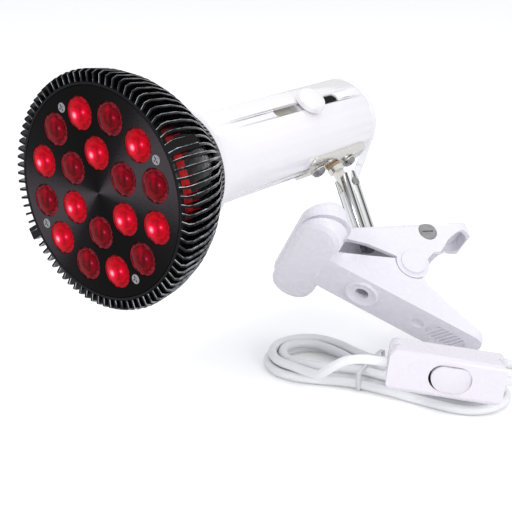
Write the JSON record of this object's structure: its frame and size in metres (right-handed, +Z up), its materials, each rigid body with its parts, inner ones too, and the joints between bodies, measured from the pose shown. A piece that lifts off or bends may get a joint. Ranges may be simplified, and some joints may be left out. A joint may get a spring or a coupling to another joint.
{
  "type": "infrared heat therapy lamp",
  "caption": "Clip-on heat lamp: finned round bulb with ringed lenses in a slotted tube, tilting on a knuckle and swivel over a sprung clamp, with a cord switch and plug.",
  "frame": {"origin": "middle of the closed mouth between the two jaws of the clamp", "axes": "+Y along the lamp tube from the bulb to its rear cap, +Z up, +X towards the handles of the clamp; the face of the bulb looks along -Y"},
  "size_m": [0.3695, 0.2644, 0.1824],
  "materials": {
    "plate_grey": "matt dark grey paint with fine turning marks",
    "screw_steel": "bright zinc-plated steel",
    "lens_red": "clear plastic lens, lit deep red",
    "lens_dark": "clear plastic lens over an unlit infrared emitter",
    "cup_black": "moulded black",
    "emitter_yellow": "phosphor over a small package",
    "board_white": "white solder mask",
    "sink_black": "gloss black enamel on cast aluminium",
    "neck_white": "smooth white moulding",
    "board_green": "green circuit board",
    "cap_nickel": "nickel-plated brass",
    "cap_black": "black glass insulator",
    "socket_white": "glazed ceramic",
    "contact_brass": "plain brass",
    "slider_white": "smooth white moulding",
    "tube_white": "smooth gloss white",
    "sleeve_white": "soft white rubber",
    "hinge_nickel": "satin nickel",
    "nut_tan": "tan fibre washer nut",
    "barrel_chrome": "polished chrome",
    "clamp_white": "smooth gloss white, soft edges",
    "spring_steel": "drawn spring wire",
    "pad_white": "soft pale rubber",
    "switch_white": "smooth gloss white",
    "cord_white": "smooth white cord sheath",
    "tie_white": "flat coated wire",
    "plug_white": "smooth white moulding",
    "pin_nickel": "nickel-plated brass"
  },
  "bodies": {
    "clamp": {"clamp_upper": "clamp_white", "clamp_pivot": "screw_steel", "pivot_cap": "clamp_white", "clamp_spring": "spring_steel", "handle_screw": "screw_steel", "jaw_pad_upper": "pad_white", "barrel_washer": "screw_steel", "swivel_stud": "screw_steel", "stud_nut": "screw_steel", "switch_front": "switch_white", "switch_back": "switch_white", "switch_contacts": "contact_brass", "plug_body": "plug_white", "plug_pins": "pin_nickel", "cord_lamp": "cord_white", "cord_link": "cord_white", "cord_hank": "cord_white", "cord_tie": "tie_white", "cord_plug": "cord_white"},
    "lower_arm": {"clamp_lower": "clamp_white", "jaw_pad_lower": "pad_white"},
    "barrel": {"swivel_barrel": "barrel_chrome", "knuckle_pin": "screw_steel"},
    "lamp": {"lamp_tube": "tube_white", "tube_cap": "tube_white", "cord_sleeve": "sleeve_white", "hinge_plate": "hinge_nickel", "plate_screws": "screw_steel", "plate_washers": "hinge_nickel", "tongue_nut": "nut_tan", "hinge_tongue": "hinge_nickel"},
    "carriage": {"socket_carriage": "slider_white", "socket_body": "socket_white", "socket_shell": "contact_brass", "socket_contact": "contact_brass"},
    "knob": {"slide_knob": "slider_white"},
    "bulb": {"face_plate": "plate_grey", "face_screws": "screw_steel", "lenses_lit": "lens_red", "lenses_clear": "lens_dark", "lens_cups": "cup_black", "led_emitters": "emitter_yellow", "led_board": "board_white", "heat_sink": "sink_black", "bulb_neck": "neck_white", "driver_board": "board_green", "screw_shell": "cap_nickel", "shell_insulator": "cap_black", "centre_contact": "cap_nickel"},
    "rocker": {"switch_rocker": "switch_white"}
  },
  "joints": [
    {"name": "clamp_open", "type": "hinge", "parent": "clamp", "child": "lower_arm", "pos_m": [0.03859, 0.04014, -0.0152], "axis": [0.5845, -0.2725, 0.7642], "range_deg": [0, 25], "stiffness_Nm_per_rad": 1.2, "springref_deg": -45.84, "deforming": ["clamp_spring"]},
    {"name": "barrel_swivel", "type": "hinge", "parent": "clamp", "child": "barrel", "pos_m": [0.01314, 0.03665, 0.00302], "axis": [-0.6409, 0.4226, 0.6409], "range_deg": [-30, 30], "deforming": ["cord_lamp"]},
    {"name": "knuckle_tilt", "type": "hinge", "parent": "barrel", "child": "lamp", "pos_m": [-0.00948, 0.05157, 0.02564], "axis": [0.7071, 0, 0.7071], "range_deg": [-55, 15], "deforming": ["cord_lamp"]},
    {"name": "socket_slide", "type": "slide", "parent": "lamp", "child": "carriage", "axis": [0, -1, 0], "range_m": [-0.0004, 0.029]},
    {"name": "knob_turn", "type": "hinge", "parent": "carriage", "child": "knob", "pos_m": [-0.04024, 0.03207, 0.0564], "axis": [0.5779, 0, 0.8161], "range_deg": [0, 360]},
    {"name": "bulb_turn", "type": "hinge", "parent": "carriage", "child": "bulb", "pos_m": [-0.04024, -0.12293, 0.0564], "axis": [0, 1, 0], "range_deg": [0, 360]},
    {"name": "rocker_tilt", "type": "hinge", "parent": "clamp", "child": "rocker", "pos_m": [0.10301, -0.01766, -0.03777], "axis": [0.1022, 0.0664, 0.9925], "range_deg": [-10, 0]}
  ]
}
